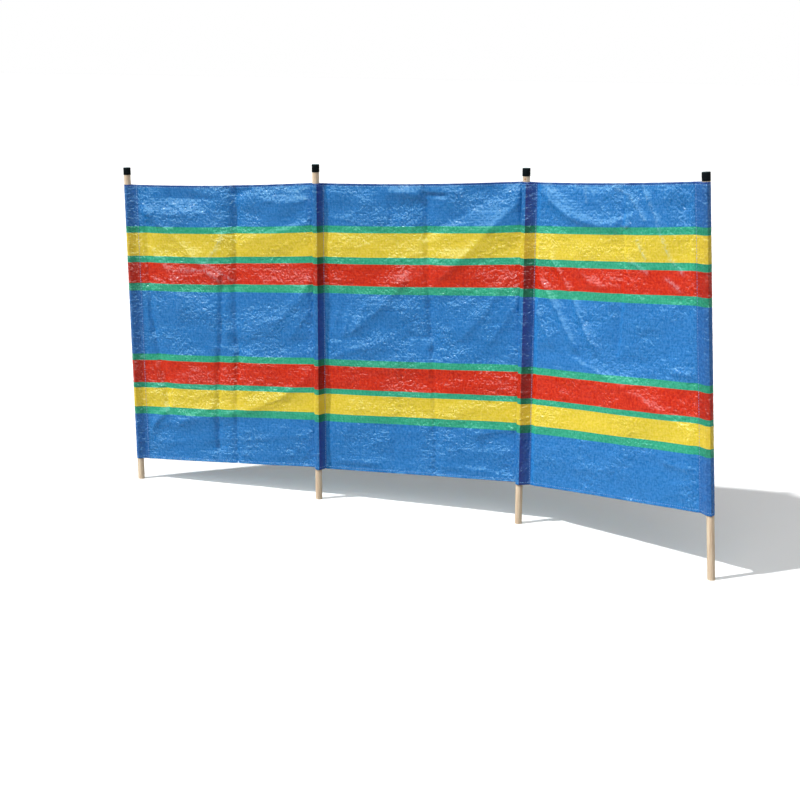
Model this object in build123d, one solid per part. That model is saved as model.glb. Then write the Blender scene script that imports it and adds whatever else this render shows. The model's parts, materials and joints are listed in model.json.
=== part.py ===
from build123d import *
import math
import os

# Beach windbreak: four round wooden poles stand in a row and carry one long striped cloth
# between them, in three bays. Each pole runs through a pocket of the cloth and has a plastic
# cap pushed on its upper end. Millimetres and degrees, +Z up, +X along the run, and the cloth's
# front, where the pockets bulge, faces -Y. The origin is on the foot of pole 1, at ground level.

# ---- driving dimensions -------------------------------------------------------------------

# Run
BAY_WIDTH = 780.0  # from pole axis to pole axis, half-way up the cloth
BAY_TURNS = (1.3, -25.9)  # how far the run turns at pole 2 and at pole 3, seen from above
MID_HEIGHT = 660.0  # height above the ground at which BAY_WIDTH is measured

# Poles, listed from pole 1 to pole 4
POLE_DIAMETER = 25.0
POLE_CHAMFER = 1.5
LEAN_ALONG = (-1.0, 0.7, 0.1, -3.2)  # positive where the top leans towards +X
LEAN_ACROSS = (0.7, -0.8, 0.3, -1.1)  # positive where the top leans towards +Y
CLOTH_LIFT = (84.0, 118.0, 147.5, 216.0)  # bare pole between the ground and the cloth
WOOD_ABOVE_CLOTH = (36.0, 39.5, 19.0, 2.5)  # bare pole between the cloth and the cap

# Cloth
CLOTH_HEIGHT = 1065.0
TOP_ASKEW = (0.0, 0.0, 0.0, 14.0)  # how far short of that height the top edge is hemmed, by pole
TOP_SAG = (7.0, 6.0, 4.0)  # how far the top edge dips in the middle of each bay
PLY = 0.8  # one layer of the cloth
HEM_DEPTH = 12.0  # folded edge along the top and the bottom
POCKET_EASE = 0.5  # between the pole and the pocket round it
FOLD_RADIUS = 2.0  # outside of the cloth where it turns sharply
SEWN_GAP = 0.3  # between two pieces of cloth that are sewn together
SPANS = 8  # stretches between folds that a bay's cloth is made of

# Pockets, listed from pole 1 to pole 4
RIDGE_ANGLE = (-83.0, -59.0, -53.0, -45.0)  # of the ridge pressed into the front, -90 is straight ahead
RIDGE_PROUD = (0.6, 2.3, 3.3, 3.0)  # how far the ridge stands off a round loop
SEAM_REACH = (40.0, 24.0, 34.0, 40.0)  # from the pole's axis to the seam beside it
SEAM_PULL = (0.0, 0.0, 5.0, 0.0)  # how far the seam is pulled back behind the pocket

# Caps
CAP_HEIGHT = 28.0
CAP_WALL = 1.3
CAP_CROWN = 2.5  # thickness over the pole's end
CAP_DOME = 0.8  # rise of the crown towards its middle
CAP_SHOULDER = 3.0  # rounding between the crown and the side
CAP_EASE = 0.15  # between the pole and the cap round it

# ---- sizes that follow ---------------------------------------------------------------------

POLES = len(CLOTH_LIFT)
BAYS = POLES - 1
POLE_RADIUS = POLE_DIAMETER / 2
POCKET_RADIUS = POLE_RADIUS + POCKET_EASE + PLY


def bay_headings():
    """The direction of each bay in plan, with pole 1 and the last pole both on the X axis."""
    headings = [0.0]
    for turn in BAY_TURNS:
        headings.append(headings[-1] + turn)
    along = sum(math.cos(math.radians(h)) for h in headings)
    across = sum(math.sin(math.radians(h)) for h in headings)
    return [h - math.degrees(math.atan2(across, along)) for h in headings]


HEADINGS = bay_headings()


def run_direction(bay):
    return Vector(1, 0, 0).rotate(Axis.Z, HEADINGS[bay])


def pole_axis(pole):
    along = math.tan(math.radians(LEAN_ALONG[pole]))
    across = math.tan(math.radians(LEAN_ACROSS[pole]))
    return Vector(along, across, 1)


def foot(pole):
    """Where a pole's axis meets the ground."""

    def ground_point(number):
        middle = Vector(0, 0, 0)
        for bay in range(number):
            middle += run_direction(bay) * BAY_WIDTH
        lean = pole_axis(number) * MID_HEIGHT
        return Vector(middle.X - lean.X, middle.Y - lean.Y, 0)

    return ground_point(pole) - ground_point(0)


def pole_plane(pole):
    """Foot of a pole, Z up its axis and X along the bay that its pocket lies on."""
    up = pole_axis(pole).normalized()
    run = run_direction(min(pole, BAYS - 1))
    sideways = (run - up * run.dot(up)).normalized()
    return Plane(origin=foot(pole), x_dir=sideways, z_dir=up)


PLANES = [pole_plane(pole) for pole in range(POLES)]


def cloth_height(pole):
    return CLOTH_HEIGHT - TOP_ASKEW[pole]


def cap_mouth(pole):
    """How far along the pole the cap begins."""
    return CLOTH_LIFT[pole] + cloth_height(pole) + WOOD_ABOVE_CLOTH[pole]


def pole_length(pole):
    """The pole ends against the inside of the cap's crown."""
    return cap_mouth(pole) + CAP_HEIGHT - CAP_CROWN


def place(solid, pole, height):
    """Stands a solid on a pole's axis, at a height along it."""
    return PLANES[pole] * (Pos(0, 0, height) * solid)


# ---- poles and caps ------------------------------------------------------------------------


def make_pole(pole):
    """A dowel that leans with its axis, cut level where it enters the ground."""
    spare = POLE_DIAMETER
    dowel = Pos(0, 0, -spare) * extrude(Circle(POLE_RADIUS), pole_length(pole) + spare)
    dowel = chamfer(dowel.edges().sort_by(Axis.Z)[-1], POLE_CHAMFER)
    dowel = PLANES[pole] * dowel
    below_ground = Box(4 * spare, 4 * spare, 4 * spare, align=(Align.CENTER, Align.CENTER, Align.MAX))
    return dowel - Pos(foot(pole)) * below_ground


def make_cap():
    """A moulded cup with a slightly domed crown and a round shoulder. Its mouth is at z = 0."""
    bore = POLE_RADIUS + CAP_EASE
    outer = bore + CAP_WALL
    dome = (outer**2 + CAP_DOME**2) / (2 * CAP_DOME)
    from_mouth = (Align.CENTER, Align.CENTER, Align.MIN)
    body = Cylinder(outer, CAP_HEIGHT, align=from_mouth)
    body = fillet(body.edges().group_by(Axis.Z)[-1], CAP_SHOULDER)
    body = body & Pos(0, 0, CAP_HEIGHT - dome) * Sphere(dome)
    return body - Cylinder(bore, CAP_HEIGHT - CAP_CROWN, align=from_mouth)


# ---- cloth ---------------------------------------------------------------------------------


def pocket_outline(pole, inset):
    """The loop of cloth round a pole, drawn on the pole's own plane.

    A ridge is pressed into its front. A middle pocket is pinched up in front: its back is nearly
    flat, and it slopes down from the ridge to the seam, on the next bay's side. An end pocket is
    sewn further in, in line with the pole.
    """
    reach, behind = SEAM_REACH[pole] - FOLD_RADIUS, POCKET_RADIUS - FOLD_RADIUS
    ridge = Vector(behind + RIDGE_PROUD[pole], 0, 0).rotate(Axis.Z, RIDGE_ANGLE[pole])
    turns = [(ridge.X, ridge.Y)]
    if pole == 0:
        turns += [(reach, 0)]
    elif pole == POLES - 1:
        turns += [(-reach, 0)]
    else:
        turns += [(reach, behind + SEAM_PULL[pole]), (-behind, behind)]
    edges = Circle(POCKET_RADIUS - inset).edges()
    for turn in turns:
        edges += (Pos(turn) * Circle(FOLD_RADIUS - inset)).edges()
    return make_hull(edges)


def make_pocket(pole):
    loop = pocket_outline(pole, 0) - pocket_outline(pole, PLY)
    return place(extrude(loop, cloth_height(pole)), pole, CLOTH_LIFT[pole])


def bay_ends(bay):
    """For both ends of a bay: its pole, and where the cloth is sewn on beside and behind it."""
    in_line, behind = -PLY / 2, POCKET_RADIUS - PLY
    start = (bay, SEAM_REACH[bay] + SEWN_GAP, in_line if bay == 0 else behind + SEAM_PULL[bay])
    if bay == BAYS - 1:
        return start, (bay + 1, -SEAM_REACH[-1] - SEWN_GAP, in_line)
    return start, (bay + 1, -POCKET_RADIUS - SEWN_GAP, behind)


def cloth_slice(bay, share, low, high, thickness):
    """The four corners of a slice through a bay's cloth, at a share of the way along the bay."""
    corners, backs, ups = [], [], []
    for pole, beside, behind in bay_ends(bay):
        plane = PLANES[pole]
        corners.append(plane.from_local_coords(Vector(beside, behind, CLOTH_LIFT[pole])))
        backs.append(plane.y_dir)
        ups.append(plane.z_dir)

    def between(ends):
        return ends[0] * (1 - share) + ends[1] * share

    sag = 4 * share * (1 - share) * TOP_SAG[bay]
    kept = (between((cloth_height(bay), cloth_height(bay + 1))) - sag) / CLOTH_HEIGHT
    back = between(backs)
    slice_plane = Plane(origin=between(corners), x_dir=back, z_dir=back.cross(between(ups)))
    front_low, back_low = (0, low * kept), (thickness, low * kept)
    front_high, back_high = (0, high * kept), (thickness, high * kept)
    outline = (front_low, back_low, back_high, front_high)
    return [slice_plane.from_local_coords(Vector(*corner)) for corner in outline]


def flat_face(corners):
    return Face(Wire.make_polygon(corners))


def cloth_strip(bay, low, high, layers):
    """A strip of one bay's cloth between two heights above its bottom edge.

    The cloth twists where the poles at its two ends lean differently. So it is made of flat
    triangles, and they run the same way in front and behind, which keeps its thickness even.
    """
    slices = [cloth_slice(bay, span / SPANS, low, high, layers * PLY) for span in range(SPANS + 1)]
    faces = [flat_face(slices[0]), flat_face(slices[-1])]
    front, back, bottom, top = (0, 3), (1, 2), (0, 1), (3, 2)
    for near, far in zip(slices, slices[1:]):
        for one, other in (front, back, bottom, top):
            faces.append(flat_face([near[one], far[one], far[other]]))
            faces.append(flat_face([near[one], far[other], near[other]]))
    return Solid(Shell(faces))


def make_panel(bay):
    edge = HEM_DEPTH + SEWN_GAP
    return cloth_strip(bay, edge, CLOTH_HEIGHT - edge, 1)


def make_top_hem(bay):
    return cloth_strip(bay, CLOTH_HEIGHT - HEM_DEPTH, CLOTH_HEIGHT, 2)


def make_bottom_hem(bay):
    return cloth_strip(bay, 0, HEM_DEPTH, 2)


# ---- the assembly --------------------------------------------------------------------------


def build_all():
    pieces = {}
    for pole in range(POLES):
        pieces[f"pole_{pole + 1}"] = make_pole(pole)
        pieces[f"cap_{pole + 1}"] = place(make_cap(), pole, cap_mouth(pole))
        pieces[f"pocket_{pole + 1}"] = make_pocket(pole)
    for bay in range(BAYS):
        pieces[f"panel_{bay + 1}"] = make_panel(bay)
        pieces[f"top_hem_{bay + 1}"] = make_top_hem(bay)
        pieces[f"bottom_hem_{bay + 1}"] = make_bottom_hem(bay)
    return pieces


os.makedirs("parts", exist_ok=True)
for name, piece in build_all().items():
    export_step(piece, f"parts/{name}.step")
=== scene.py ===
import json
import math

import bpy
import numpy as np
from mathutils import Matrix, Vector, noise


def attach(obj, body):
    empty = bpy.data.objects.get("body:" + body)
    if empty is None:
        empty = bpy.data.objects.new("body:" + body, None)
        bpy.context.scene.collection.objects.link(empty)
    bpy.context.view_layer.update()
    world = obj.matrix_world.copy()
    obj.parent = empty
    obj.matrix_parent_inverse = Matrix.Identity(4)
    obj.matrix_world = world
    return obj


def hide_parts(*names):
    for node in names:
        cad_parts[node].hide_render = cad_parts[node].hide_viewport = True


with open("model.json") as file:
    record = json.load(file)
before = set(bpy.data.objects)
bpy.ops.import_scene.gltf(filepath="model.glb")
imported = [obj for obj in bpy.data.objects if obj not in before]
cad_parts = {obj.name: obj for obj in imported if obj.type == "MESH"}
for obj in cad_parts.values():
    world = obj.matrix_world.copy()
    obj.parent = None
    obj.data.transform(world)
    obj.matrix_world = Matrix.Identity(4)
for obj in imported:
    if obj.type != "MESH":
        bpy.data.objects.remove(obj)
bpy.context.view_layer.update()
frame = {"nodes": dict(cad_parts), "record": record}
MM = 0.001

# ---- the windbreak's own sizes, in millimetres and degrees ---------------------------------

POLES = 4
MID_HEIGHT = 660.0  # where the bays are measured from pole to pole
TOP_DIP = (7.0, 6.0, 4.0)  # of the top edge, in the middle of each bay
LOOP_RADIUS = 13.5  # the cloth's own radius round a pole
LOOP_STEPS = 13
BESIDE_LOOP = 0.6  # between a loop and where the bay before runs on behind it
FOLDED_BACK = 14.1  # behind a pole's axis, where the cloth of the bay before runs on
LAYERS = (-0.9, -0.3, 0.3)  # from a middle seam's back: the next bay, the loop, the bay before
RAW_END = 8.0  # cloth left over beyond the seam of an end pocket
LAP = 0.9  # between the two layers of an end pocket at its seam
HOLLOW = (26.0, -1.0)  # beside and behind pole 1's axis, between its ridge and its seam
# The ridge pressed into the front of each pocket: its angle, and its reach from the pole's axis
RIDGES = ((-83.0, 14.4), (-59.0, 16.2), (-53.0, 17.2), (-45.0, 17.0))
IN_FRONT = 250.0  # an end pocket's ridge past this angle is nearly straight ahead
RIDGE_ROUNDING = 0.9
SLOPE_STEPS = 8  # columns of cloth between the ridge of a middle pocket and its seam
HEM = 11.0  # turned over to the back along the top and the bottom
HEM_LIFT = 0.7  # between the cloth and its turned hem
KICK = 2.6  # how far the bottom edge kicks forward
KICK_HEIGHT = 13.0
POCKET_SLACK = (1.6, 4.6, 4.6, 1.6)  # how far each pocket stands off its pole at the bottom
SLACK_AT = 310.0  # the side of the pole where it stands off furthest
ROW_PITCH = 6.3
COLUMN_PITCH = 5.6

# A pole may carry a little less cloth than its full height. One share of the difference is taken
# up between the bottom edge and TAKEN_UP_OVER of the height. The rest is turned in at the top,
# from TURNED_IN_FROM of the height over the next TURNED_IN_OVER.
TAKEN_UP, TAKEN_UP_OVER = 0.57, 0.45
TURNED_IN, TURNED_IN_FROM, TURNED_IN_OVER = 0.43, 0.85, 0.15

# How much of the depth of its folds the cloth keeps at its edges, and how far in from the edges
# and the seams they are held down. They are not quite flat at the seams themselves.
EDGE_KEEPS, EDGE_GIVES = 0.45, 0.55  # they add up to one, the full depth
EDGE_HOLDS = 34.0
SEAM_HOLDS = 26.0
SEAM_OFFSET = 3.0

# How much painted shade deepens a pocket's colours: at the ends, round the loops, and from the
# ridge of a middle pocket, where it turns from the light, down to its seam
PAINTED_SHADE_END, PAINTED_SHADE_LOOP, PAINTED_SHADE_SLOPE = 0.33, 0.1, (1.0, 0.55)

# The woven stripes from the top edge down, with their widths in the middle of the run. They run
# a little uphill to the right against the cut edges.
STRIPES = (
    ("blue", 146.0), ("green", 27.0), ("yellow", 86.0), ("green", 27.0), ("red", 79.0),
    ("green", 29.0), ("blue", 245.0), ("green", 26.0), ("red", 85.0), ("green", 20.0),
    ("yellow", 78.0), ("green", 28.0), ("blue", 189.0),
)
STRIPE_RISE = 4.7  # in each bay

# Folds that the cloth keeps from being packed away and pulled tight. Each has its bay, the points
# that it passes through as (share of the bay, millimetres below the top edge), how far it stands
# out, and how wide it is on its left and on its right. The left of a level fold is below it.
FOLDS = (
    # Bay 1: pressed creases, from top to bottom
    (0, ((0.573, -20), (0.556, 425), (0.554, 600)), -18.4, 17, 80),
    (0, ((0.553, 640), (0.548, 1090)), -9.0, 8, 30),
    (0, ((0.562, 30), (0.556, 190)), -8.4, 11, 34),
    (0, ((0.490, 350), (0.478, 560), (0.454, 694), (0.445, 1010)), -12.0, 7, 32),
    (0, ((0.064, 130), (0.085, 330), (0.092, 480), (0.137, 714), (0.177, 870)), -12.0, 8, 28),
    (0, ((0.156, 660), (0.170, 850)), -4.5, 5, 16),
    (0, ((0.030, 578), (0.970, 582)), -1.4, 12, 12),
    # thin creases
    (0, ((0.511, 175), (0.459, 245), (0.398, 300)), 2.2, 6, 6),
    (0, ((0.269, 322), (0.407, 317), (0.498, 361)), 2.0, 6, 6),
    (0, ((0.360, 283), (0.446, 305), (0.542, 353)), 2.0, 6, 6),
    (0, ((0.900, 30), (0.990, 10)), 2.0, 7, 7),
    (0, ((0.890, 46), (0.985, 62)), 2.0, 7, 7),
    # folds where it is pulled between its poles
    (0, ((0.020, 62), (0.100, 108), (0.200, 165), (0.330, 262), (0.470, 350)), 10.0, 26, 34),
    (0, ((0.100, 100), (0.220, 112), (0.400, 104)), 6.1, 20, 24),
    (0, ((0.220, 44), (0.340, 50), (0.440, 46)), -7.2, 24, 12),
    (0, ((0.740, 60), (0.840, 66), (0.930, 62)), 9.1, 18, 20),
    (0, ((0.600, 95), (0.680, 112)), -5.0, 14, 14),
    (0, ((0.600, 215), (0.780, 178), (0.970, 140)), 8.2, 30, 60),
    (0, ((0.100, 240), (0.190, 310), (0.260, 420), (0.270, 480)), 8.2, 30, 16),
    (0, ((0.640, 560), (0.800, 500), (0.890, 440), (0.980, 345)), 7.5, 42, 24),
    (0, ((0.860, 560), (0.980, 450)), 5.0, 16, 16),
    (0, ((0.430, 616), (0.530, 618)), 5.0, 8, 14),
    (0, ((0.200, 925), (0.380, 890), (0.600, 862), (0.800, 800), (0.980, 700)), 9.0, 46, 24),
    (0, ((0.060, 955), (0.120, 905), (0.200, 850)), 10.2, 24, 12),
    (0, ((0.250, 905), (0.420, 845)), 5.0, 14, 16),
    (0, ((0.060, 1015), (0.300, 985), (0.600, 972), (0.900, 945)), 2.4, 24, 10),
    # Bay 2: pressed creases
    (1, ((0.512, -20), (0.520, 120), (0.532, 300), (0.550, 540)), -14.0, 12, 44),
    (1, ((0.553, 600), (0.567, 772), (0.582, 1090)), -7.5, 6, 30),
    (1, ((0.536, -20), (0.541, 330)), -1.5, 5, 12),
    (1, ((0.408, 640), (0.416, 898)), -3.5, 5, 16),
    (1, ((0.388, 840), (0.371, 1020)), -3.0, 5, 14),
    (1, ((0.790, 600), (0.800, 800)), -1.2, 5, 12),
    (1, ((0.030, 566), (0.970, 570)), -1.4, 12, 12),
    # thin creases
    (1, ((0.350, 90), (0.400, 240), (0.445, 350)), -4.0, 7, 18),
    (1, ((0.345, 50), (0.365, 100), (0.340, 150)), -2.6, 5, 12),
    (1, ((0.716, 80), (0.705, 150)), -3.0, 6, 12),
    (1, ((0.460, 22), (0.518, 38), (0.612, 43)), -7.5, 9, 7),
    (1, ((0.480, 34), (0.530, 50), (0.620, 56)), 4.5, 12, 9),
    # folds where it is pulled
    (1, ((0.360, 28), (0.680, 30)), 6.1, 14, 22),
    (1, ((0.540, 372), (0.620, 315), (0.700, 262), (0.800, 180), (0.970, 62)), 12.5, 46, 44),
    (1, ((0.520, 185), (0.700, 108), (0.860, 40)), -6.0, 26, 20),
    (1, ((0.700, 550), (0.800, 465), (0.900, 345)), 6.0, 30, 18),
    (1, ((0.840, 555), (0.950, 425)), 6.0, 22, 16),
    (1, ((0.200, 520), (0.320, 440), (0.430, 345)), 8.5, 40, 20),
    (1, ((0.460, 548), (0.560, 552)), -8.2, 16, 14),
    (1, ((0.070, 545), (0.120, 430)), 4.0, 12, 9),
    (1, ((0.130, 545), (0.170, 440)), 4.5, 12, 9),
    (1, ((0.180, 540), (0.235, 440)), 4.5, 12, 9),
    (1, ((0.060, 640), (0.200, 600), (0.380, 560)), 5.0, 20, 14),
    (1, ((0.100, 735), (0.400, 660)), 2.0, 24, 12),
    (1, ((0.780, 900), (0.960, 870)), 7.2, 20, 14),
    (1, ((0.100, 1030), (0.300, 1034)), 5.0, 10, 14),
    (1, ((0.620, 1030), (0.820, 1034)), 5.0, 10, 14),
    # Bay 3: pressed creases
    (2, ((0.561, -20), (0.562, 265), (0.550, 408), (0.523, 560)), -8.3, 20, 7),
    (2, ((0.523, 560), (0.515, 760), (0.520, 1090)), -1.8, 16, 8),
    (2, ((0.745, 250), (0.750, 570)), -1.8, 14, 6),
    (2, ((0.800, 250), (0.806, 570)), -1.8, 14, 6),
    (2, ((0.915, 300), (0.920, 560)), -1.5, 12, 6),
    (2, ((0.075, -20), (0.075, 1090)), 8.3, 18, 50),
    (2, ((0.050, 580), (0.950, 592)), -1.4, 14, 10),
    # thin creases
    (2, ((0.343, 12), (0.356, 60)), 3.4, 6, 6),
    (2, ((0.503, 8), (0.596, 37), (0.688, 122)), 4.6, 7, 7),
    (2, ((0.667, 4), (0.743, 106), (0.770, 160), (0.810, 244), (0.875, 290)), 5.0, 9, 8),
    (2, ((0.690, -10), (0.700, 75)), 3.5, 12, 9),
    (2, ((0.591, 250), (0.688, 290)), 3.2, 8, 8),
    (2, ((0.789, 310), (0.862, 342)), 3.4, 8, 8),
    (2, ((0.642, 188), (0.684, 248)), 2.8, 8, 8),
    (2, ((0.569, 95), (0.561, 150)), -6.0, 9, 9),
    (2, ((0.560, 150), (0.590, 140)), 3.8, 8, 8),
    # folds where it is pulled
    (2, ((0.140, 62), (0.260, 112), (0.400, 138), (0.520, 142)), 18.0, 26, 50),
    (2, ((0.400, 60), (0.470, 100)), 3.0, 10, 10),
    (2, ((0.060, 420), (0.160, 550)), 9.7, 12, 16),
    (2, ((0.100, 335), (0.200, 440), (0.295, 555)), 13.8, 14, 16),
    (2, ((0.160, 255), (0.260, 365), (0.360, 500), (0.410, 556)), 10.6, 12, 15),
    (2, ((0.280, 255), (0.360, 330), (0.440, 340)), 8.3, 14, 18),
    (2, ((0.300, 450), (0.420, 550)), 2.6, 10, 12),
    (2, ((0.850, 608), (0.970, 612)), 9.7, 14, 12),
    (2, ((0.390, 618), (0.550, 668), (0.700, 722), (0.810, 757)), 9.0, 80, 24),
    (2, ((0.050, 850), (0.500, 862), (0.970, 868)), 1.8, 14, 30),
    (2, ((0.780, 915), (0.970, 930)), 8.3, 14, 18),
    (2, ((0.050, 960), (0.500, 975)), 1.6, 16, 22),
)


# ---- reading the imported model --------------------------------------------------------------


class Stand:
    """A pole as the cloth knows it: foot, axis, the bay's direction, and the pocket's ends."""

    def __init__(self, number):
        name = f"foot_{number}"
        mount = next(m for m in frame["record"]["mounts"] if m["name"] == name)
        self.foot = np.array(mount["pos_m"], float)
        points = corners_of(f"pole_{number}")
        rough = points.mean(0) - self.foot
        along = points @ (rough / np.linalg.norm(rough))
        self.top = points[along > along.max() - 0.5 * MM].mean(0)
        self.up = (self.top - self.foot) / np.linalg.norm(self.top - self.foot)
        self.middle = self.foot + self.up * (MID_HEIGHT * MM / self.up[2])

    def face(self, run):
        """Sets sideways along the bay, and back away from the cloth's front."""
        sideways = run - self.up * (run @ self.up)
        self.sideways = sideways / np.linalg.norm(sideways)
        self.back = np.cross(self.up, self.sideways)

    def measure(self, pocket):
        """Reads how high the pocket sits on the pole, and how far beside and behind it reaches."""
        away = corners_of(pocket) - self.foot
        height, beside, behind = away @ self.up, away @ self.sideways, away @ self.back
        self.low = height.min()
        self.tall = height.max() - height.min()
        self.reach, self.depth = np.abs(beside).max(), behind.max()

    def at(self, beside, behind, height):
        """Points beside and behind the pole's axis, at heights above the low edge, in metres."""
        height = np.atleast_1d(height)
        base = self.foot + self.up * self.low
        return (
            base
            + np.multiply.outer(height, self.up)
            + np.multiply.outer(np.broadcast_to(beside, height.shape), self.sideways)
            + np.multiply.outer(np.broadcast_to(behind, height.shape), self.back)
        )


def corners_of(node):
    """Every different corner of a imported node, in metres."""
    mesh = frame["nodes"][node].data
    places = np.array([corner.co for corner in mesh.vertices], float)
    return np.unique(places.round(6), axis=0)


def read_stands():
    stands = [Stand(number) for number in range(1, POLES + 1)]
    runs = []
    for here, there in zip(stands, stands[1:]):
        run = there.middle - here.middle
        runs.append(run / np.linalg.norm(run))
    for number, stand in enumerate(stands):
        stand.face(runs[min(number, len(runs) - 1)])
        stand.measure(f"pocket_{number + 1}")
    return stands


STANDS = read_stands()
CLOTH_HEIGHT = STANDS[0].tall / MM


# ---- the path of the cloth in plan ---------------------------------------------------------


def straight(start, end, steps):
    """Points from start to end, without start."""
    shares = np.linspace(0, 1, steps + 1)[1:]
    return [tuple(np.add(start, np.subtract(end, start) * share)) for share in shares]


def round_pole(start, end, steps, slack):
    """Points round a pole from one angle to another, in degrees, that hang slack in front."""
    points = []
    for angle in np.linspace(start, end, steps + 1):
        near = max(0.0, math.cos(math.radians(angle - SLACK_AT)))
        points.append(at_angle(angle, LOOP_RADIUS + slack * near**1.5))
    return points


def at_angle(angle, reach):
    return reach * math.cos(math.radians(angle)), reach * math.sin(math.radians(angle))


def meets_at(beside, behind):
    """The angles at which straight cloth from a point touches the loop, behind and in front."""
    half = math.degrees(math.acos(LOOP_RADIUS / math.hypot(beside, behind)))
    towards = math.degrees(math.atan2(behind, beside))
    return towards + half, towards - half


def over_ridge(start, ridge, end, steps_up, steps_down):
    """Straight up to a pressed ridge, over its narrow rounding, and straight down from it."""
    before, after = np.subtract(start, ridge), np.subtract(end, ridge)
    before = tuple(ridge + before / np.linalg.norm(before) * RIDGE_ROUNDING)
    after = tuple(ridge + after / np.linalg.norm(after) * RIDGE_ROUNDING)
    crest = tuple(np.array(ridge) * 0.5 + np.add(before, after) * 0.25)
    return straight(start, before, steps_up) + [crest, after] + straight(after, end, steps_down)


def end_pocket(stand, angle, ridge_reach, slack):
    """The cloth's raw end, behind; round the pole's outer side; and along the front to the seam."""
    reach = stand.reach / MM
    behind, _ = meets_at(reach, LAP)
    half = math.degrees(math.acos(LOOP_RADIUS / ridge_reach))
    loop = round_pole(behind, angle - half, LOOP_STEPS, slack)
    under = [(reach + RAW_END, LAP), (reach + RAW_END / 2, LAP), (reach, LAP)]
    outside = straight(under[-1], loop[0], 6) + loop[1:]
    ridge = at_angle(angle, ridge_reach + slack)
    if angle > IN_FRONT:
        # The cloth goes down from the ridge to a hollow before the seam.
        outside += over_ridge(loop[-1], ridge, HOLLOW, 1, 6)
        return under, outside + straight(HOLLOW, (reach, 0.0), 3)
    _, front = meets_at(reach, 0.0)
    flat = round_pole(angle + half, front + 360, 4, slack)
    outside += over_ridge(loop[-1], ridge, flat[0], 2, 3) + flat[1:]
    return under, outside + straight(flat[-1], (reach, 0.0), 6)


def middle_pocket(stand, angle, ridge_reach, slack):
    """On behind the pole to the seam, back, round the pole's near side, over the ridge and down."""
    reach = stand.reach / MM
    next_bay, loop_layer, this_bay = (stand.depth / MM + layer for layer in LAYERS)
    turn = this_bay - loop_layer
    behind, _ = meets_at(reach - turn, loop_layer)
    half = math.degrees(math.acos(LOOP_RADIUS / ridge_reach))
    loop = round_pole(behind, angle - half, LOOP_STEPS, slack)
    under = [(-LOOP_RADIUS - BESIDE_LOOP, FOLDED_BACK)]
    under += straight(under[0], (reach - turn, this_bay), 6)
    under += [(reach, (this_bay + loop_layer) / 2), (reach - turn, loop_layer)]
    under += straight(under[-1], loop[0], 4)
    ridge = at_angle(angle, ridge_reach + slack)
    return under, loop[1:] + over_ridge(loop[-1], ridge, (reach, next_bay), 2, SLOPE_STEPS)


def hung(heights, tall):
    """Where heights on the cloth come to rest on a pole that carries it this tall.

    Part of what it falls short by is taken up in its lower half. The rest has been turned in at the
    top edge, and only the top stripe loses it.
    """
    short = CLOTH_HEIGHT - tall / MM
    taken_up = fade(heights, TAKEN_UP_OVER * CLOTH_HEIGHT)
    above = heights - TURNED_IN_FROM * CLOTH_HEIGHT
    turned_in = fade(above, TURNED_IN_OVER * CLOTH_HEIGHT)
    return (heights - short * (TAKEN_UP * taken_up + TURNED_IN * turned_in)) * MM


def pocket_columns(number, heights):
    """The columns of cloth round one pole, and for each whether another layer lies over it.

    The third list says how much painted shade deepens each column's colours.
    """
    stand = STANDS[number]
    last = number == len(STANDS) - 1
    shape = end_pocket if number == 0 or last else middle_pocket
    angle, ridge_reach = RIDGES[number]
    angle = 180 - angle if last else 360 + angle
    under, outside = shape(stand, angle, ridge_reach, 0.0)
    covered = [True] * len(under) + [False] * len(outside)
    # Painted shade for the pocket's colours, deepest down a middle pocket's slope
    if shape is end_pocket:
        painted_shade = [PAINTED_SHADE_END] * len(covered)
    else:
        painted_shade = [PAINTED_SHADE_LOOP] * (len(covered) - SLOPE_STEPS - 1)
        painted_shade += list(np.linspace(*PAINTED_SHADE_SLOPE, SLOPE_STEPS + 1))
    tight = np.array(under + outside)
    slack = np.array(sum(shape(stand, angle, ridge_reach, POCKET_SLACK[number]), [])) - tight
    if last:
        tight, slack = tight[::-1] * (-1, 1), slack[::-1] * (-1, 1)
        covered.reverse()
        painted_shade.reverse()
    loose = (1 - heights / CLOTH_HEIGHT) ** 1.3
    placed = hung(heights, stand.tall)
    columns = []
    for (beside, behind), (off_beside, off_behind) in zip(tight, slack):
        beside, behind = beside + off_beside * loose, behind + off_behind * loose
        columns.append(stand.at(beside * MM, behind * MM, placed))
    return columns, covered, painted_shade


def bay_columns(bay, heights):
    """The columns of a bay's flat cloth, and each one's share of the way from pole to pole."""
    here, there = STANDS[bay], STANDS[bay + 1]
    last = bay == len(STANDS) - 2
    start = (here.reach, 0.0 if bay == 0 else here.depth + LAYERS[0] * MM)
    end = (-there.reach, 0.0) if last else (-(LOOP_RADIUS + BESIDE_LOOP) * MM, FOLDED_BACK * MM)
    run = np.linalg.norm(there.middle - here.middle)
    first, final = start[0] / run, 1 + end[0] / run
    steps = round((final - first) * run / MM / COLUMN_PITCH)
    columns, shares = [], []
    for step in range(1, steps):
        share = step / steps
        dip = 4 * share * (1 - share) * TOP_DIP[bay]
        tall = here.tall * (1 - share) + there.tall * share
        placed = hung(heights, tall) * (1 - dip / CLOTH_HEIGHT)
        near, far = here.at(*start, placed), there.at(*end, placed)
        columns.append(near * (1 - share) + far * share)
        shares.append(first + (final - first) * share)
    return columns, shares


# ---- folds and crumples --------------------------------------------------------------------


def fade(distance, reach):
    """Nought at a distance of nought and one beyond reach, with no corner between."""
    share = np.clip(distance / reach, 0, 1)
    return share * share * (3 - 2 * share)


STRESS_AND_GLINT_WIDTH = 4.0  # over which the pale mark of a crease fades: stress whitening and painted highlight
THIN = 10  # a fold whose sides are both narrower than this is a thin crease
THIN_STRESS_AND_GLINT, BROAD_STRESS_AND_GLINT = 1.0, 0.08  # how strongly each kind of raised fold is painted pale: stress whitening and painted highlight


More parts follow.
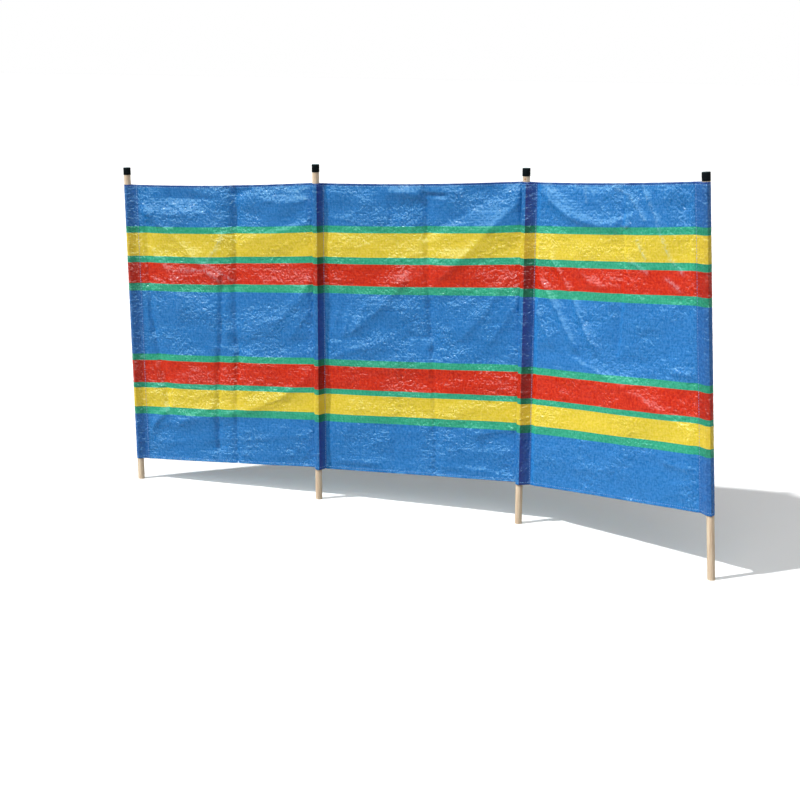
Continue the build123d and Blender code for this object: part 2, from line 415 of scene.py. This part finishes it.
def fold_lift(across, below, points, stands_out, left, right):
    """How far a fold lifts the cloth, and how near each place is to its line, nought to one."""
    best = np.full(across.shape, 1e9)
    side = np.zeros(across.shape)
    for (x0, y0), (x1, y1) in zip(points, points[1:]):
        run, drop = x1 - x0, y1 - y0
        share = np.clip(((across - x0) * run + (below - y0) * drop) / (run**2 + drop**2), 0, 1)
        away_x, away_y = across - x0 - share * run, below - y0 - share * drop
        away = np.hypot(away_x, away_y)
        nearer = away < best
        best = np.where(nearer, away, best)
        side = np.where(nearer, away_x * drop - away_y * run, side)
    if points[-1][1] < points[0][1]:
        side = -side
    width = np.where(side < 0, left, right)
    return stands_out * np.exp(-best / width), np.exp(-best / STRESS_AND_GLINT_WIDTH)


def ruffle(across, below, seed, long, tall, slope=0.0):
    """Smooth hills and hollows, long and tall millimetres in size, tipped by slope."""
    lean = across + slope * below
    values = [
        noise.fractal(Vector((x / long, y / tall, seed)), 1.0, 2.1, 1)
        for x, y in zip(lean.ravel(), below.ravel())
    ]
    return np.array(values).reshape(across.shape)


def creased(across, below, seed, long, tall, slope=0.0):
    """Sharp little ridges, as in film that has been crushed and pulled flat again."""
    lean = across + slope * below
    values = []
    for x, y in zip(lean.ravel(), below.ravel()):
        place = Vector((x / long, y / tall, seed))
        values.append(1 - abs(noise.noise(place)) * 2.2)
    return np.array(values).reshape(across.shape)


def bay_run(bay):
    """From pole to pole, in millimetres."""
    return np.linalg.norm(STANDS[bay + 1].middle - STANDS[bay].middle) / MM


def bay_surface(bay, across, below):
    """How far each place of a bay's cloth stands out, how pale its creases are painted, and how
    rumpled.
    """
    seed = 11.3 + 7.7 * bay
    # Broad swells, and shorter waves that are twice as high near the top edge, where it is loose
    loose = 0.75 + 0.75 * (1 - fade(below - 20, 150.0))
    out = 8.0 * ruffle(across, below, seed, long=240.0, tall=170.0)
    out += 6.0 * loose * ruffle(across, below, seed + 1, long=120.0, tall=62.0, slope=0.4)
    # Little ridges in two sizes, three times as high where the film is most rumpled
    patches = ruffle(across, below, seed + 2, long=130.0, tall=90.0)
    rumpled = np.clip(0.5 + 1.8 * patches, 0, 1)
    crush = creased(across, below, seed + 3, long=52.0, tall=30.0, slope=-0.6)
    crush += 0.6 * creased(across, below, seed + 4, long=27.0, tall=17.0, slope=0.8)
    out += (0.35 + 0.7 * rumpled) * crush
    stress_and_glint_marks = np.zeros(across.shape)
    for where, points, stands_out, left, right in FOLDS:
        if where == bay:
            placed = [(share * bay_run(bay), drop) for share, drop in points]
            lift, near = fold_lift(across, below, placed, stands_out, left, right)
            out += lift
            # Raised folds are painted paler: partly stress whitening, partly painted highlight
            if stands_out > 0:
                stress_and_glint = THIN_STRESS_AND_GLINT if max(left, right) < THIN else BROAD_STRESS_AND_GLINT
                stress_and_glint_marks = np.maximum(stress_and_glint_marks, near * stress_and_glint)
    return out, stress_and_glint_marks, rumpled


# ---- the cloth -----------------------------------------------------------------------------


def row_drops():
    """How far below the top edge each row of the cloth is; beyond the edges it is turned over."""
    turned = [HEM, HEM * 0.6, HEM * 0.25, 0.8]
    near_edge = [0.0, 1.2, 3.5, 7.0, HEM]
    steps = round((CLOTH_HEIGHT - 2 * HEM) / ROW_PITCH)
    middle = list(np.linspace(HEM, CLOTH_HEIGHT - HEM, steps + 1)[1:-1])
    top = [-drop for drop in turned] + near_edge
    return np.array(top + middle + [CLOTH_HEIGHT - drop for drop in reversed(top)])


class Cloth:
    """The whole cloth as one grid: rows down, columns along it from its left raw end."""

    def __init__(self):
        self.drops = row_drops()
        self.below = CLOTH_HEIGHT - np.abs(CLOTH_HEIGHT - np.abs(self.drops))
        heights = CLOTH_HEIGHT - self.below
        columns, self.bay, self.share, self.covered, self.seams = [], [], [], [], []
        # How much painted shade deepens each column's colours
        self.painted_shade = []
        for number in range(len(STANDS)):
            pocket, covered, painted_shade = pocket_columns(number, heights)
            last = number == len(STANDS) - 1
            self.seams.append(len(columns) + (0 if last else len(pocket) - 1))
            columns += pocket
            self.covered += covered
            self.painted_shade += painted_shade
            self.bay += [number] * len(pocket)
            self.share += [None] * len(pocket)
            if not last:
                flat, shares = bay_columns(number, heights)
                columns += flat
                self.covered += [False] * len(flat)
                self.painted_shade += [0.0] * len(flat)
                self.bay += [number] * len(flat)
                self.share += shares
        self.places = np.array(columns).transpose(1, 0, 2)
        steps = np.linalg.norm(np.diff(self.places[len(self.drops) // 2], axis=0), axis=1)
        self.along = np.concatenate([[0.0], np.cumsum(steps)]) / MM
        # How pale each place is painted along creases: stress whitening and painted highlight
        self.creased = np.zeros(self.places.shape[:2])
        self.rumpled = np.full(self.places.shape[:2], 0.5)
        self.crumple()
        self.turn_hems()
        self.front = self.front_directions()

    def in_bay(self, bay):
        """The columns of a bay's flat cloth."""
        return [k for k, share in enumerate(self.share) if share is not None and self.bay[k] == bay]

    def round_pole(self, number):
        """The columns of the pocket round a pole."""
        return [k for k, share in enumerate(self.share) if share is None and self.bay[k] == number]

    def front_directions(self):
        """The direction out of the cloth's front, everywhere."""
        out = np.cross(np.gradient(self.places, axis=1), (0.0, 0.0, 1.0))
        return out / np.linalg.norm(out, axis=2, keepdims=True)

    def crumple(self):
        out = np.zeros(self.creased.shape)
        for bay in range(len(STANDS) - 1):
            picked = self.in_bay(bay)
            across = np.array([self.share[k] for k in picked]) * bay_run(bay)
            across, below = np.meshgrid(across, self.below)
            lift, self.creased[:, picked], self.rumpled[:, picked] = bay_surface(bay, across, below)
            from_left, from_right = across - across.min(), across.max() - across
            if bay == 0:
                from_left = from_left - RAW_END
            if bay == len(STANDS) - 2:
                from_right = from_right - RAW_END
            from_seam = np.minimum(from_left, from_right) + SEAM_OFFSET
            out[:, picked] = lift * fade(from_seam, SEAM_HOLDS)
        # Round the poles the cloth can only stand off from the wood.
        loops = [k for k, share in enumerate(self.share) if share is None and not self.covered[k]]
        along, below = np.meshgrid(self.along[loops], self.below)
        ridges = creased(along, below, 3.1, long=26.0, tall=19.0, slope=1.1)
        out[:, loops] = 0.6 * np.clip(ridges, 0, 1)
        # The doubled edges are stiffer, and the bottom one kicks forward in the bays.
        edge = np.minimum(self.below, CLOTH_HEIGHT - self.below)[:, None]
        out *= EDGE_KEEPS + EDGE_GIVES * fade(edge, EDGE_HOLDS)
        low = np.clip(1 - (CLOTH_HEIGHT - self.below) / KICK_HEIGHT, 0, 1)[:, None]
        out += KICK * low**2 * np.array([share is not None for share in self.share])
        self.places = self.places + out[..., None] * self.front_directions() * MM

    def turn_hems(self):
        """Lays the rows beyond the two edges behind the cloth."""
        over = np.maximum(-self.drops, self.drops - CLOTH_HEIGHT)
        lift = np.where(over > 0, HEM_LIFT, 0.0)
        lift = np.where(np.abs(over) < 0.01, HEM_LIFT / 2, lift)
        self.places = self.places - lift[:, None, None] * self.front_directions() * MM

    def at(self, column, drop):
        """A place on the cloth, part-way between its rows and its columns."""
        row = np.interp(drop, self.drops, range(len(self.drops)))
        lower, right = row - int(row), column - int(column)
        near = self.places[int(row) : int(row) + 2, int(column) : int(column) + 2]
        down = near[0] * (1 - lower) + near[-1] * lower
        return down[0] * (1 - right) + down[-1] * right

    def out_at(self, column, drop):
        row = round(np.interp(drop, self.drops, range(len(self.drops))))
        return self.front[row, round(column)]


def build_mesh(name, places, faces):
    mesh = bpy.data.meshes.new(name)
    mesh.from_pydata([tuple(place) for place in places], [], faces)
    mesh.validate()
    for face in mesh.polygons:
        face.use_smooth = True
    piece = bpy.data.objects.new(name, mesh)
    bpy.context.scene.collection.objects.link(piece)
    return piece


def make_cloth(cloth):
    """One sheet, with where each point is on the flat cloth kept for the stripes and the weave."""
    rows, columns = cloth.creased.shape
    faces = []
    for row in range(rows - 1):
        for column in range(columns - 1):
            corner = row * columns + column
            faces.append((corner, corner + columns, corner + columns + 1, corner + 1))
    piece = build_mesh("striped_cloth", cloth.places.reshape(-1, 3), faces)
    poles = [cloth.along[cloth.round_pole(number)].mean() for number in range(len(STANDS))]
    bays_along = np.interp(cloth.along, poles, range(len(STANDS)))
    along, drop = np.meshgrid(cloth.along, cloth.drops)
    stripe = cloth.below[:, None] + STRIPE_RISE * (bays_along - (len(STANDS) - 1) / 2)
    spots = piece.data.attributes.new("flat_mm", "FLOAT_VECTOR", "POINT")
    spots.data.foreach_set("vector", np.stack([along, stripe, drop], axis=2).ravel())
    # Painted shade for the pockets' colours
    painted_shade = np.broadcast_to(cloth.painted_shade, cloth.creased.shape)
    # creased: pale crease lines, partly stress whitening and partly painted highlight
    kept = {"creased": cloth.creased, "rumpled": cloth.rumpled, "painted_shade": painted_shade}
    for name, values in kept.items():
        marks = piece.data.attributes.new(name, "FLOAT", "POINT")
        marks.data.foreach_set("value", values.ravel())
    return piece


# ---- stitching -----------------------------------------------------------------------------

# Drawn longer and thicker than the real thread, which is half a millimetre thick, so that it shows.
STITCH_LENGTH = 6.5
STITCH_PITCH = 9.0
STITCH_WIDTH = 1.2
STITCH_HEIGHT = 0.9
STITCH_SIDES = 6
STITCH_RINGS = ((-1.0, 0.25), (-0.72, 0.9), (0.0, 1.0), (0.72, 0.9), (1.0, 0.25))


def add_stitch(places, faces, middle, along, out):
    """A short thread that dips into the cloth at both ends."""
    side = np.cross(along, out)
    start = len(places)
    for reach, width in STITCH_RINGS:
        for corner in range(STITCH_SIDES):
            turn = 2 * math.pi * corner / STITCH_SIDES
            beside = side * math.cos(turn) * width * STITCH_WIDTH / 2
            proud = out * math.sin(turn) * width * STITCH_HEIGHT / 2
            places.append(middle + (along * reach * STITCH_LENGTH / 2 + beside + proud) * MM)
    for ring in range(len(STITCH_RINGS) - 1):
        first = start + ring * STITCH_SIDES
        for corner in range(STITCH_SIDES):
            here, beside = first + corner, first + (corner + 1) % STITCH_SIDES
            faces.append((here, beside, beside + STITCH_SIDES, here + STITCH_SIDES))
    last = start + (len(STITCH_RINGS) - 1) * STITCH_SIDES
    faces.append(tuple(range(start + STITCH_SIDES - 1, start - 1, -1)))
    faces.append(tuple(range(last, last + STITCH_SIDES)))


def sew(places, faces, line, outs):
    """Stitches at an even pitch along a line of points, with their directions out of the cloth."""
    line, outs = np.array(line), np.array(outs)
    steps = np.linalg.norm(np.diff(line, axis=0), axis=1)
    lengths = np.concatenate([[0.0], np.cumsum(steps)]) / MM

    def along_line(values, length):
        return np.array([np.interp(length, lengths, values[:, axis]) for axis in range(3)])

    for where in np.arange(STITCH_PITCH / 2, lengths[-1] - STITCH_PITCH / 2, STITCH_PITCH):
        along = along_line(line, where + 2) - along_line(line, where - 2)
        along /= np.linalg.norm(along)
        out = along_line(outs, where)
        out -= along * (out @ along)
        add_stitch(places, faces, along_line(line, where), along, out / np.linalg.norm(out))


def make_hem_stitching(cloth):
    """The two rows of stitches that hold the turned hems, wherever no other layer covers them."""
    places, faces, runs = [], [], [[]]
    for column, covered in enumerate(cloth.covered):
        if not covered:
            runs[-1].append(column)
        elif runs[-1]:
            runs.append([])
    for run in filter(None, runs):
        for drop in (HEM - 2.0, CLOTH_HEIGHT - HEM + 2.0):
            line = [cloth.at(column, drop) for column in run]
            sew(places, faces, line, [cloth.out_at(column, drop) for column in run])
    return build_mesh("hem_stitching", places, faces)


def make_pocket_stitching(cloth):
    """A row of stitches down the front of each pocket's seam."""
    places, faces = [], []
    drops = np.arange(4.0, CLOTH_HEIGHT - 3.0, 3.0)
    for number, seam in enumerate(cloth.seams):
        column = seam + 0.4 if number == len(STANDS) - 1 else seam - 0.4
        outs = [cloth.out_at(column, drop) for drop in drops]
        line = [cloth.at(column, drop) + out * 0.2 * MM for drop, out in zip(drops, outs)]
        sew(places, faces, line, outs)
    return build_mesh("pocket_stitching", places, faces)


# ---- materials -----------------------------------------------------------------------------


def linear(hex_colour):
    """An sRGB hex colour as linear red, green, blue and alpha."""
    channels = [int(hex_colour[k : k + 2], 16) / 255 for k in (1, 3, 5)]
    channels = [c / 12.92 if c <= 0.04045 else ((c + 0.055) / 1.055) ** 2.4 for c in channels]
    return (*channels, 1.0)


def add(tree, kind, inputs=None, **settings):
    """Adds a node with its settings. An input that is another node's output is linked.

    The inputs of a map range, 0 to 4, are its value, what it maps from, and what it maps to.
    """
    made = tree.nodes.new(kind)
    for name, value in settings.items():
        setattr(made, name, value)
    for name, value in (inputs or {}).items():
        if isinstance(value, bpy.types.NodeSocket):
            tree.links.new(value, made.inputs[name])
        else:
            made.inputs[name].default_value = value
    return made


def new_material(name):
    material = bpy.data.materials.new(name)
    material.use_nodes = True
    material.node_tree.nodes.clear()
    return material, material.node_tree


def show(tree, shader):
    add(tree, "ShaderNodeOutputMaterial", {"Surface": shader.outputs[0]})


SOUND_COLOURS = {"blue": "#1D75BD", "green": "#28A580", "yellow": "#E0CA2E", "red": "#C92208"}
CRAZED_COLOURS = {"blue": "#3B8BCE", "green": "#40B894", "yellow": "#ECD652", "red": "#E03A16"}
# Painted shade: the deeper colours painted on the pockets
PAINTED_SHADE_COLOURS = {"blue": "#324594", "green": "#166C4E", "yellow": "#E4C33D", "red": "#8F1814"}
# Painted shade along the rolled top edge
PAINTED_TOP_EDGE_SHADE = "#22388F"
# Pale sky blue on raised creases: partly stress whitening, partly painted highlight
STRESS_WHITE_AND_GLINT = "#B0E4F5"
MIX_COLOURS = {"data_type": "RGBA"}  # then its inputs 6 and 7 are the colours, and output 2 too


def striped(tree, share, colours):
    """The woven stripes, from the share of the way down the cloth."""
    stripes = add(tree, "ShaderNodeValToRGB", {0: share})
    ramp = stripes.color_ramp
    ramp.interpolation = "CONSTANT"
    edge = 0.0
    for number, (colour, width) in enumerate(STRIPES):
        stop = ramp.elements[0] if number == 0 else ramp.elements.new(edge / CLOTH_HEIGHT)
        stop.color = linear(colours[colour])
        edge += width
    ramp.elements.remove(ramp.elements[-1])
    return stripes.outputs[0]


def woven_polyethylene():
    """Laminated woven polyethylene: flat tapes drawn from film, woven, and coated with clear film.

    It gives the eye clear colours under a gloss that breaks into facets where the film has been
    crushed, fine ribs across the weave, pale lines on raised creases that are partly stress whitening
    and partly painted highlight, and painted shade on the pockets and the top edge.
    """
    material, tree = new_material("woven_polyethylene")
    flat = add(tree, "ShaderNodeAttribute", attribute_name="flat_mm").outputs["Vector"]
    axes = add(tree, "ShaderNodeSeparateXYZ", {0: flat}).outputs
    share = add(tree, "ShaderNodeMath", {0: axes[1], 1: CLOTH_HEIGHT}, operation="DIVIDE")
    share = share.outputs[0]
    # Crushed film: crinkles about 8 mm across and 10 mm tall, with finer ones on them. On their
    # crests it is crazed, and its colours look paler.
    crinkle = add(tree, "ShaderNodeMapping", {0: flat, "Scale": (1 / 8, 1 / 10, 0)})
    crinkle = add(
        tree, "ShaderNodeTexNoise",
        {0: crinkle.outputs[0], "Scale": 1.0, "Detail": 1.0, "Roughness": 0.5, "Distortion": 0.3},
    )
    # The tapes are 2.5 mm wide, too fine to show, so their shades are drawn 5 mm wide.
    tape_shades = []
    for size in ((1 / 60, 1 / 5, 0), (1 / 5, 1 / 60, 0)):
        run = add(tree, "ShaderNodeMapping", {0: flat, "Scale": size})
        tape_shades.append(
            add(tree, "ShaderNodeTexNoise", {0: run.outputs[0], "Scale": 1.0, "Detail": 1.0})
        )
    tapes = add(
        tree, "ShaderNodeMath", {k: shade.outputs[0] for k, shade in enumerate(tape_shades)},
        operation="ADD",
    )
    crazed = add(
        tree, "ShaderNodeMath", {0: tapes.outputs[0], 1: 0.2, 2: crinkle.outputs[0]},
        operation="MULTIPLY_ADD",
    )
    crazed = add(tree, "ShaderNodeMapRange", {0: crazed.outputs[0], 1: 0.54, 2: 0.86})
    open_cloth = add(
        tree, "ShaderNodeMix",
        {
            0: crazed.outputs[0], 6: striped(tree, share, SOUND_COLOURS),
            7: striped(tree, share, CRAZED_COLOURS),
        },
        **MIX_COLOURS,
    )
    # Painted shade: the pockets' colours are painted deeper, most of all down the slope of a middle
    # pocket that is turned from the light.
    painted_shade = add(tree, "ShaderNodeAttribute", attribute_name="painted_shade").outputs["Fac"]
    stripes = add(
        tree, "ShaderNodeMix",
        {0: painted_shade, 6: open_cloth.outputs[2], 7: striped(tree, share, PAINTED_SHADE_COLOURS)},
        **MIX_COLOURS,
    )

    shade = add(
        tree, "ShaderNodeMapRange",
        {0: tapes.outputs[0], 1: 0.7, 2: 1.3, 3: 0.96, 4: 1.04},
    )
    toned = add(
        tree, "ShaderNodeVectorMath", {0: stripes.outputs[2], "Scale": shade.outputs[0]},
        operation="SCALE",
    )

    # The rolled top edge is doubled. Painted shade makes its blue deeper there.
    from_top = add(tree, "ShaderNodeMath", {0: axes[2]}, operation="ABSOLUTE")
    top_edge_shade = add(
        tree, "ShaderNodeMapRange", {0: from_top.outputs[0], 1: 5.5, 2: 7.5, 3: 0.75, 4: 0.0}
    )
    top_edge_shaded = add(
        tree, "ShaderNodeMix", {0: top_edge_shade.outputs[0], 6: toned.outputs[0], 7: linear(PAINTED_TOP_EDGE_SHADE)},
        **MIX_COLOURS,
    )
    # Raised creases are painted a paler sky blue in broken lines: partly stress whitening of the
    # film, partly a painted highlight.
    creased = add(tree, "ShaderNodeAttribute", attribute_name="creased").outputs["Fac"]
    broken = add(
        tree, "ShaderNodeMapRange", {0: crinkle.outputs[0], 1: 0.38, 2: 0.62, 3: 0.03, 4: 0.36}
    )
    stress_and_glint_pale = add(tree, "ShaderNodeMath", {0: creased, 1: broken.outputs[0]}, operation="MULTIPLY")
    colour = add(
        tree, "ShaderNodeMix", {0: stress_and_glint_pale.outputs[0], 6: top_edge_shaded.outputs[2], 7: linear(STRESS_WHITE_AND_GLINT)},
        **MIX_COLOURS,
    )

    # Ribs: a weft tape lies every 2.5 mm, drawn as a rib every 9 mm so that they show.
    ribs = add(tree, "ShaderNodeMath", {0: axes[1], 1: 2 * math.pi / 9}, operation="MULTIPLY")
    ribs = add(tree, "ShaderNodeMath", {0: ribs.outputs[0]}, operation="SINE")
    # Shallow dents 3 to 5 cm across, which meet in sharp lines where the folded cloth was pressed.
    dents = add(tree, "ShaderNodeMapping", {0: flat, "Scale": (1 / 46, 1 / 32, 0)})
    dents = add(
        tree, "ShaderNodeTexVoronoi", {0: dents.outputs[0], "Scale": 1.0, "Detail": 1.0},
        feature="F1", voronoi_dimensions="2D",
    )
    rumpled = add(tree, "ShaderNodeAttribute", attribute_name="rumpled").outputs["Fac"]

    def bumped(least, most):
        """The normals, with the crushed film at full height only where the cloth is rumpled."""
        crushed = add(tree, "ShaderNodeMapRange", {0: rumpled, 3: least, 4: most}).outputs[0]
        normal = add(
            tree, "ShaderNodeBump",
            {"Strength": 0.25, "Distance": 0.3 * MM, "Height": ribs.outputs[0]},
        )
        for height, deep in ((crinkle, 6 * MM), (dents, 3.5 * MM)):
            normal = add(
                tree, "ShaderNodeBump",
                {
                    "Strength": crushed, "Distance": deep, "Height": height.outputs[0],
                    "Normal": normal.outputs[0],
                },
            )
        return normal.outputs[0]

    # The film's own surface is rougher than the tapes under it.
    tape_normal, film_normal = bumped(0.25, 0.7), bumped(0.35, 1.0)
    rough = add(
        tree, "ShaderNodeMapRange", {0: crinkle.outputs[0], 1: 0.3, 2: 0.7, 3: 0.34, 4: 0.5}
    )
    coated = add(
        tree, "ShaderNodeBsdfPrincipled",
        {
            "Base Color": colour.outputs[2], "Roughness": rough.outputs[0], "IOR": 1.5,
            "Diffuse Roughness": 1.0, "Specular IOR Level": 0.0, "Normal": tape_normal,
            "Coat Weight": 0.6, "Coat Roughness": 0.12, "Coat IOR": 1.34,
            "Coat Normal": film_normal,
        },
    )
    # A little light comes through the tapes.
    through = add(
        tree, "ShaderNodeBsdfTranslucent", {0: colour.outputs[2], "Normal": tape_normal}
    )
    cloth = add(
        tree, "ShaderNodeMixShader", {0: 0.12, 1: coated.outputs[0], 2: through.outputs[0]}
    )
    show(tree, cloth)
    return material


def planed_softwood(knot):
    """A bare softwood dowel, planed round: pale, dry and matt.

    Its grain runs up the dowel in narrow darker lines, and one knot shows under a cap.
    """
    material, tree = new_material("planed_softwood")
    place = add(tree, "ShaderNodeTexCoord").outputs["Object"]
    # Growth lines are 1 to 2 mm apart; drawn 4 mm apart and long, so that they show.
    grain = add(tree, "ShaderNodeMapping", {0: place, "Scale": (250, 250, 9)})
    grain = add(
        tree, "ShaderNodeTexNoise",
        {0: grain.outputs[0], "Scale": 1.0, "Detail": 4.0, "Roughness": 0.6, "Distortion": 0.4},
    )
    colours = add(tree, "ShaderNodeValToRGB", {0: grain.outputs[0]})
    for stop, (share, colour) in zip(
        colours.color_ramp.elements, ((0.3, "#C8A689"), (0.62, "#E6D1B5"))
    ):
        stop.position, stop.color = share, linear(colour)
    patches = add(tree, "ShaderNodeMapping", {0: place, "Scale": (30, 30, 6)})
    patches = add(tree, "ShaderNodeTexNoise", {0: patches.outputs[0], "Scale": 1.0, "Detail": 2.0})
    tone = add(tree, "ShaderNodeMapRange", {0: patches.outputs[0], 1: 0.3, 2: 0.7, 3: 0.9, 4: 1.06})
    toned = add(
        tree, "ShaderNodeVectorMath", {0: colours.outputs[0], "Scale": tone.outputs[0]},
        operation="SCALE",
    )
    away = add(tree, "ShaderNodeVectorMath", {0: place, 1: tuple(knot)}, operation="DISTANCE")
    near = add(
        tree, "ShaderNodeMapRange",
        {0: away.outputs["Value"], 1: 0.0022, 2: 0.0045, 3: 0.85, 4: 0.0},
    )
    knotted = add(
        tree, "ShaderNodeMix", {0: near.outputs[0], 6: toned.outputs[0], 7: linear("#9C6136")},
        **MIX_COLOURS,
    )
    bump = add(
        tree, "ShaderNodeBump", {"Strength": 0.6, "Distance": 0.0004, "Height": grain.outputs[0]}
    )
    rough = add(tree, "ShaderNodeMapRange", {0: grain.outputs[0], 1: 0.3, 2: 0.7, 3: 0.72, 4: 0.6})
    wood = add(
        tree, "ShaderNodeBsdfPrincipled",
        {
            "Base Color": knotted.outputs[2], "Roughness": rough.outputs[0], "IOR": 1.5,
            "Specular IOR Level": 0.1, "Normal": bump.outputs[0],
        },
    )
    show(tree, wood)
    return material


def moulded_black_polyethylene():
    """Black polyethylene caps, moulded in a lightly etched tool: a soft sheen over a fine grain."""
    material, tree = new_material("moulded_black_polyethylene")
    place = add(tree, "ShaderNodeTexCoord").outputs["Object"]
    # The etched grain is 0.3 mm, drawn 1.5 mm.
    grain = add(tree, "ShaderNodeTexNoise", {0: place, "Scale": 650.0, "Detail": 2.0})
    dust = add(tree, "ShaderNodeTexNoise", {0: place, "Scale": 60.0, "Detail": 3.0})
    colours = add(tree, "ShaderNodeValToRGB", {0: dust.outputs[0]})
    for stop, (share, colour) in zip(
        colours.color_ramp.elements, ((0.35, "#040507"), (0.7, "#0A0B0D"))
    ):
        stop.position, stop.color = share, linear(colour)
    rough = add(tree, "ShaderNodeMapRange", {0: dust.outputs[0], 1: 0.3, 2: 0.7, 3: 0.38, 4: 0.55})
    bump = add(
        tree, "ShaderNodeBump", {"Strength": 0.4, "Distance": 0.0003, "Height": grain.outputs[0]}
    )
    plastic = add(
        tree, "ShaderNodeBsdfPrincipled",
        {
            "Base Color": colours.outputs[0], "Roughness": rough.outputs[0], "IOR": 1.51,
            "Specular IOR Level": 0.02, "Normal": bump.outputs[0],
        },
    )
    show(tree, plastic)
    return material


def polyester_thread():
    """Spun polyester sewing thread, dyed pale blue: matt and fuzzy, and darker in patches."""
    material, tree = new_material("polyester_thread")
    place = add(tree, "ShaderNodeTexCoord").outputs["Object"]
    patches = add(tree, "ShaderNodeTexNoise", {0: place, "Scale": 90.0, "Detail": 2.0})
    colours = add(tree, "ShaderNodeValToRGB", {0: patches.outputs[0]})
    for stop, (share, colour) in zip(
        colours.color_ramp.elements, ((0.35, "#4A80C4"), (0.65, "#74A2D8"))
    ):
        stop.position, stop.color = share, linear(colour)
    twist = add(tree, "ShaderNodeTexNoise", {0: place, "Scale": 900.0, "Detail": 1.0})
    bump = add(
        tree, "ShaderNodeBump", {"Strength": 0.5, "Distance": 0.0002, "Height": twist.outputs[0]}
    )
    thread = add(
        tree, "ShaderNodeBsdfPrincipled",
        {
            "Base Color": colours.outputs[0], "Roughness": 0.75, "Sheen Weight": 0.2,
            "Normal": bump.outputs[0],
        },
    )
    show(tree, thread)
    return material


# ---- the studio ----------------------------------------------------------------------------


def seen(tree):
    """One where the camera or a mirror or glass looks, and nought for the light on the object."""
    rays = add(tree, "ShaderNodeLightPath").outputs
    both = add(
        tree, "ShaderNodeMath", {0: rays["Is Camera Ray"], 1: rays["Is Glossy Ray"]},
        operation="MAXIMUM",
    )
    every = add(
        tree, "ShaderNodeMath", {0: both.outputs[0], 1: rays["Is Transmission Ray"]},
        operation="MAXIMUM",
    )
    return every.outputs[0]


FLOOR_REACH = 50.0  # metres each way, so that its edges are out of sight


def make_floor():
    corners = [(x * FLOOR_REACH, y * FLOOR_REACH, 0) for x, y in ((-1, -1), (1, -1), (1, 1), (-1, 1))]
    floor = build_mesh("studio_floor", corners, [(0, 1, 2, 3)])
    material, tree = new_material("white_studio_floor")
    tone = add(
        tree, "ShaderNodeMix", {0: seen(tree), 6: linear("#7E7E7C"), 7: (1.0, 1.0, 1.0, 1.0)},
        **MIX_COLOURS,
    )
    show(tree, add(tree, "ShaderNodeBsdfDiffuse", {0: tone.outputs[2]}))
    floor.data.materials.append(material)


def light_world(strength):
    world = bpy.data.worlds.new("studio")
    world.use_nodes = True
    tree = world.node_tree
    tree.nodes.clear()
    level = add(tree, "ShaderNodeMapRange", {0: seen(tree), 3: strength, 4: 1.0})
    background = add(tree, "ShaderNodeBackground", {0: (1, 1, 1, 1), 1: level.outputs[0]})
    add(tree, "ShaderNodeOutputWorld", {0: background.outputs[0]})
    bpy.context.scene.world = world


def add_lamp(name, compass, elevation, strength, width):
    """A distant lamp. compass is the direction it stands in, in degrees from +X towards +Y."""
    lamp = bpy.data.lights.new(name, "SUN")
    lamp.energy, lamp.angle = strength, math.radians(width)
    holder = bpy.data.objects.new(name, lamp)
    flat = math.cos(math.radians(elevation))
    towards = Vector((
        flat * math.cos(math.radians(compass)), flat * math.sin(math.radians(compass)),
        math.sin(math.radians(elevation)),
    ))
    holder.rotation_mode = "QUATERNION"
    holder.rotation_quaternion = towards.to_track_quat("Z", "Y")
    bpy.context.scene.collection.objects.link(holder)
    return holder


CAMERA_FROM_FOOT = (3.7218, -4.4040, 1.6842)  # metres from the foot of pole 1
CAMERA_TURN, CAMERA_DIP = 30.03, 13.55  # degrees to the left of +Y, and below level
CAMERA_LENS = 67.5


def add_camera():
    """Seen from the right, about 0.4 m above the cloth, from 6 m away from the first pole."""
    camera = bpy.data.cameras.new("camera")
    camera.lens, camera.sensor_width, camera.clip_end = CAMERA_LENS, 36.0, 300.0
    holder = bpy.data.objects.new("camera", camera)
    holder.location = Vector(STANDS[0].foot) + Vector(CAMERA_FROM_FOOT)
    turn, dip = math.radians(CAMERA_TURN), math.radians(CAMERA_DIP)
    holder.rotation_euler = (math.pi / 2 - dip, 0.0, turn)
    bpy.context.scene.collection.objects.link(holder)
    bpy.context.scene.camera = holder


# ---- putting it together -------------------------------------------------------------------


KNOT = (5.1, -11.4, 9.0)  # beside and behind pole 3's axis, and above the cloth


def knot_place():
    """On the front of pole 3, between the cloth and the cap."""
    stand = STANDS[2]
    beside, behind, above = (size * MM for size in KNOT)
    return stand.at(beside, behind, stand.tall + above)[0]


def dress(pieces, slot, material):
    for piece in pieces:
        piece.data.materials.clear()
        piece.data.materials.append(material)
        if slot:
            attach(piece, "root")


def main():
    scene = bpy.context.scene
    scene.view_settings.view_transform = "Standard"
    add_camera()
    cloth = Cloth()
    sheet = make_cloth(cloth)
    hem_stitching, pocket_stitching = make_hem_stitching(cloth), make_pocket_stitching(cloth)
    dress([sheet], "cloth", woven_polyethylene())
    dress([hem_stitching, pocket_stitching], "cloth", polyester_thread())
    nodes = frame["nodes"]
    poles, caps = ([nodes[f"{kind}_{k}"] for k in range(1, POLES + 1)] for kind in ("pole", "cap"))
    dress(poles, None, planed_softwood(knot_place()))
    dress(caps, None, moulded_black_polyethylene())
    soft = [name for name in nodes if name.split("_")[0] in ("pocket", "panel", "top", "bottom")]
    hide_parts(*soft)
    make_floor()
    light_world(strength=0.34)
    add_lamp("key_lamp", compass=229.0, elevation=48.0, strength=3.45, width=2.0)
    add_lamp("front_lamp", compass=294.0, elevation=45.0, strength=1.0, width=50.0)
    # A wide bright sky that only gloss reflects
    sheen = add_lamp("sky_sheen", compass=235.0, elevation=79.0, strength=45.0, width=140.0)
    sheen.visible_diffuse = sheen.visible_transmission = False
    sheen.data.color = linear("#B8F0F2")[:3]


main()
